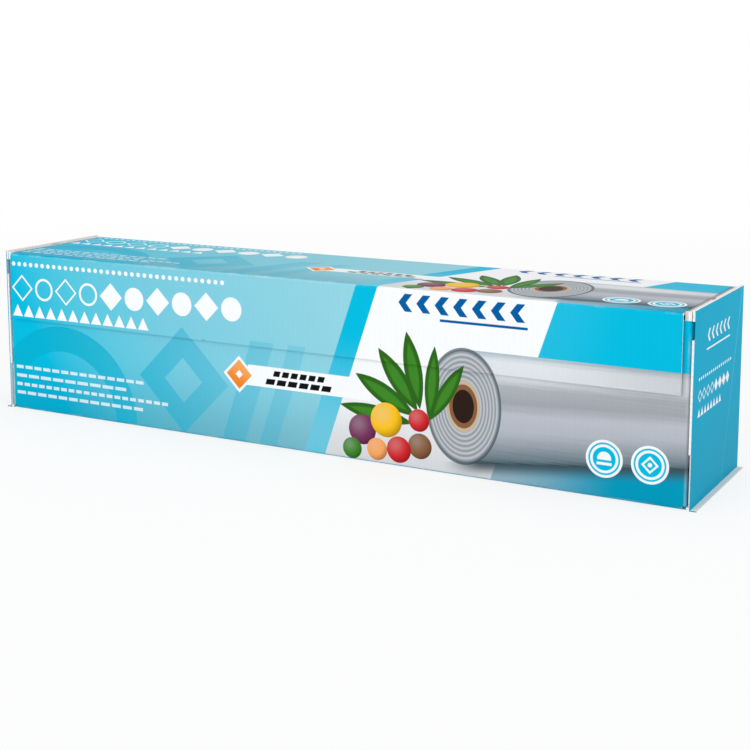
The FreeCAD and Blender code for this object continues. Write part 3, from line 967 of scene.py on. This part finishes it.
def grid_piece(name, points, thickness=None):
    """A surface through a grid of points, rows by columns by three, in metres."""
    rows, columns = points.shape[:2]
    index = np.arange(rows * columns).reshape(rows, columns)
    corners = (index[:-1, :-1], index[:-1, 1:], index[1:, 1:], index[1:, :-1])
    faces = np.stack(corners, axis=-1).reshape(-1, 4)
    mesh = bpy.data.meshes.new(name)
    mesh.from_pydata(points.reshape(-1, 3).tolist(), [], faces.tolist())
    mesh.polygons.foreach_set("use_smooth", np.ones(len(faces), dtype=bool))
    mesh.update()
    piece = bpy.data.objects.new(name, mesh)
    bpy.context.scene.collection.objects.link(piece)
    if thickness:
        shell = piece.modifiers.new("Thickness", "SOLIDIFY")
        shell.thickness = thickness
        shell.offset = 0
    return piece


# The loose end of foil: the length held on the roll, its thickness, its distance from the
# roll's surface and from the roll's ends, and how much it sags and lifts past the crown.
TAIL_HELD = 30.0
TAIL_THICKNESS = 0.06
TAIL_CLEARANCE = 0.35
TAIL_MARGIN = 0.6
TAIL_SAG = 0.016
TAIL_LIFT = 0.9


class FOILCARTON_OT_tail(bpy.types.Operator):
    """Lays the foil's loose end over the roll's crown, towards the cutter"""

    bl_idname = "foilcarton.tail"
    bl_label = "Loose end of foil"

    def execute(self, context):
        """The sheet follows the roll from behind its crown, then leaves it along a tangent.

        Along the web, s runs from the start to the ragged edge. Up to the crown it is an arc
        of the roll's own radius. Past it, the sheet goes straight on and sags by the square
        of the distance, and it ripples more the further it is from the roll.
        """
        metal = context.scene.foil_metal
        radius = ROLL_RADIUS + TAIL_CLEARANCE
        free = metal.tail / MM
        half = (ROLL_HIGH.x - ROLL_LOW.x) / 2 - TAIL_MARGIN
        x, s = np.meshgrid(
            np.linspace(-half, half, metal.columns), np.linspace(-TAIL_HELD, free, metal.rows)
        )
        ragged = 1.1 * np.sin(x * 0.11) + 0.7 * np.sin(x * 0.37 + 1.0) + 0.35 * np.sin(x * 1.9)
        past = np.clip(s, 0, None)
        past = past + ragged * (past / free) ** 2
        bend = np.clip(s, None, 0) / radius
        y = CORE_Y - radius * np.sin(bend) - past
        z = CORE_Z + radius * np.cos(bend) - TAIL_SAG * past**2
        ripple = 0.35 * np.sin(x * 0.13 + 0.4) + 0.22 * np.sin(x * 0.41 + past * 0.25)
        crease = 0.07 * np.sin(x * 1.7 + past * 0.9) * np.sin(past * 1.3 + x * 0.3)
        z = z + (ripple + crease) * (past / free) ** 1.5 + TAIL_LIFT * (past / free)
        points = np.stack([x, y, z], axis=-1) * MM
        piece = grid_piece("foil_tail", points, TAIL_THICKNESS * MM)
        piece.data.materials.append(foil_finish(metal, False).material)
        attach(piece, "carton")
        return {"FINISHED"}


# Lamps, by name, place, size and power, and the floor's half side and level, in metres.
LAMPS = (
    ("key", (-0.5, -1.9, 0.9), 1.4, 26),
    ("overhead", (0.1, 0.3, 1.8), 1.2, 9),
    ("side", (1.7, -0.4, 0.7), 1.0, 11),
)
FLOOR_REACH = 6.0
FLOOR_LEVEL = -0.0001
SENSOR = 36


def lamp(name, place, target, size, power):
    """A soft square light at a place, turned towards a target."""
    data = bpy.data.lights.new(name, "AREA")
    data.size = size
    data.energy = power
    light = bpy.data.objects.new(name, data)
    light.location = place
    aim = Vector(target) - Vector(place)
    light.rotation_euler = aim.to_track_quat("-Z", "Y").to_euler()
    bpy.context.scene.collection.objects.link(light)


def white_world(ambient):
    """Even light from all around, and a white background for the eye and reflections."""
    world = bpy.data.worlds.new("Studio")
    bpy.context.scene.world = world
    world.use_nodes = True
    board = NodeBoard(world.node_tree)
    background = board.tree.nodes["Background"]
    background.inputs["Color"].default_value = (1, 1, 1, 1)
    board.give(background.inputs["Strength"], board.seen() * (1 - ambient) + ambient)


def make_floor(setup):
    """A wide pale floor that keeps the shadow and turns to plain white further out."""
    side = np.linspace(-FLOOR_REACH, FLOOR_REACH, 3)
    x, y = np.meshgrid(side, side)
    floor = grid_piece("floor", np.stack([x, y, np.full_like(x, FLOOR_LEVEL)], axis=-1))
    ink = Finish("floor")
    ink.wear(Base_Color=(*setup.floor, 1), Roughness=0.75)
    out = (ink.x * ink.x + ink.y * ink.y).root()
    glow = ink.node("ShaderNodeEmission", {}, {"Color": (1, 1, 1, 1), "Strength": 1.0})
    share = ink.seen() * (0.78 + out.ramp(220, 900) * 0.22)
    matt = Wire(ink, ink.shader.outputs[0])
    mixed = ink.node("ShaderNodeMixShader", {}, (share, matt, glow))
    ink.give(ink.tree.nodes["Material Output"].inputs["Surface"], mixed)
    floor.data.materials.append(ink.material)


def place_camera(setup):
    """The photograph's view, with the frame shifted below the lens axis."""
    data = bpy.data.cameras.new("Camera")
    data.sensor_width = SENSOR
    data.lens = SENSOR * setup.lens
    data.shift_y = setup.shift
    data.clip_start = 0.01
    camera = bpy.data.objects.new("Camera", data)
    turn, tilt = setup.azimuth, setup.elevation
    right = Vector((math.cos(turn), math.sin(turn), 0))
    level = Vector((-math.sin(turn), math.cos(turn), 0))
    ahead = level * math.cos(tilt) - Vector((0, 0, math.sin(tilt)))
    up = right.cross(ahead)
    target = Vector((0, 0, FACE_TOP * MM / 2)) + right * setup.aside + up * setup.above
    camera.location = target - ahead * setup.distance
    camera.rotation_euler = ahead.to_track_quat("-Z", "Y").to_euler()
    bpy.context.scene.collection.objects.link(camera)
    bpy.context.scene.camera = camera


class FOILCARTON_OT_stage(bpy.types.Operator):
    """Sets the floor, the lights, the background and the camera"""

    bl_idname = "foilcarton.stage"
    bl_label = "Stage"

    def execute(self, context):
        setup = context.scene.foil_stage
        context.scene.view_settings.view_transform = "Standard"
        white_world(setup.ambient)
        make_floor(setup)
        for name, place, size, power in LAMPS:
            lamp(name, place, (0, 0, FACE_TOP * MM / 2), size, power * setup.key)
        place_camera(setup)
        return {"FINISHED"}


class FOILCARTON_PT_panel(bpy.types.Panel):
    """Lists the carton's pieces, colours and sizes"""

    bl_label = "Foil carton"
    bl_idname = "FOILCARTON_PT_panel"
    bl_space_type = "VIEW_3D"
    bl_region_type = "UI"
    bl_category = "Foil carton"

    def draw(self, context):
        for operator in OPERATORS:
            self.layout.operator(operator.bl_idname)
        for name, group in GROUPS.items():
            box = self.layout.box()
            for key in group.__annotations__:
                box.prop(getattr(context.scene, name), key)


OPERATORS = (
    FOILCARTON_OT_tray,
    FOILCARTON_OT_lid,
    FOILCARTON_OT_cutter,
    FOILCARTON_OT_roll,
    FOILCARTON_OT_core,
    FOILCARTON_OT_tail,
    FOILCARTON_OT_stage,
)


def register():
    for group in (*GROUPS.values(), *OPERATORS, FOILCARTON_PT_panel):
        bpy.utils.register_class(group)
    for name, group in GROUPS.items():
        setattr(bpy.types.Scene, name, PointerProperty(type=group))


def unregister():
    for name in GROUPS:
        delattr(bpy.types.Scene, name)
    for group in reversed((*GROUPS.values(), *OPERATORS, FOILCARTON_PT_panel)):
        bpy.utils.unregister_class(group)


def main():
    """Builds every piece."""
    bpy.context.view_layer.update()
    register()
    for operator in OPERATORS:
        group, name = operator.bl_idname.split(".")
        getattr(getattr(bpy.ops, group), name)()


if __name__ == "__main__":
    main()
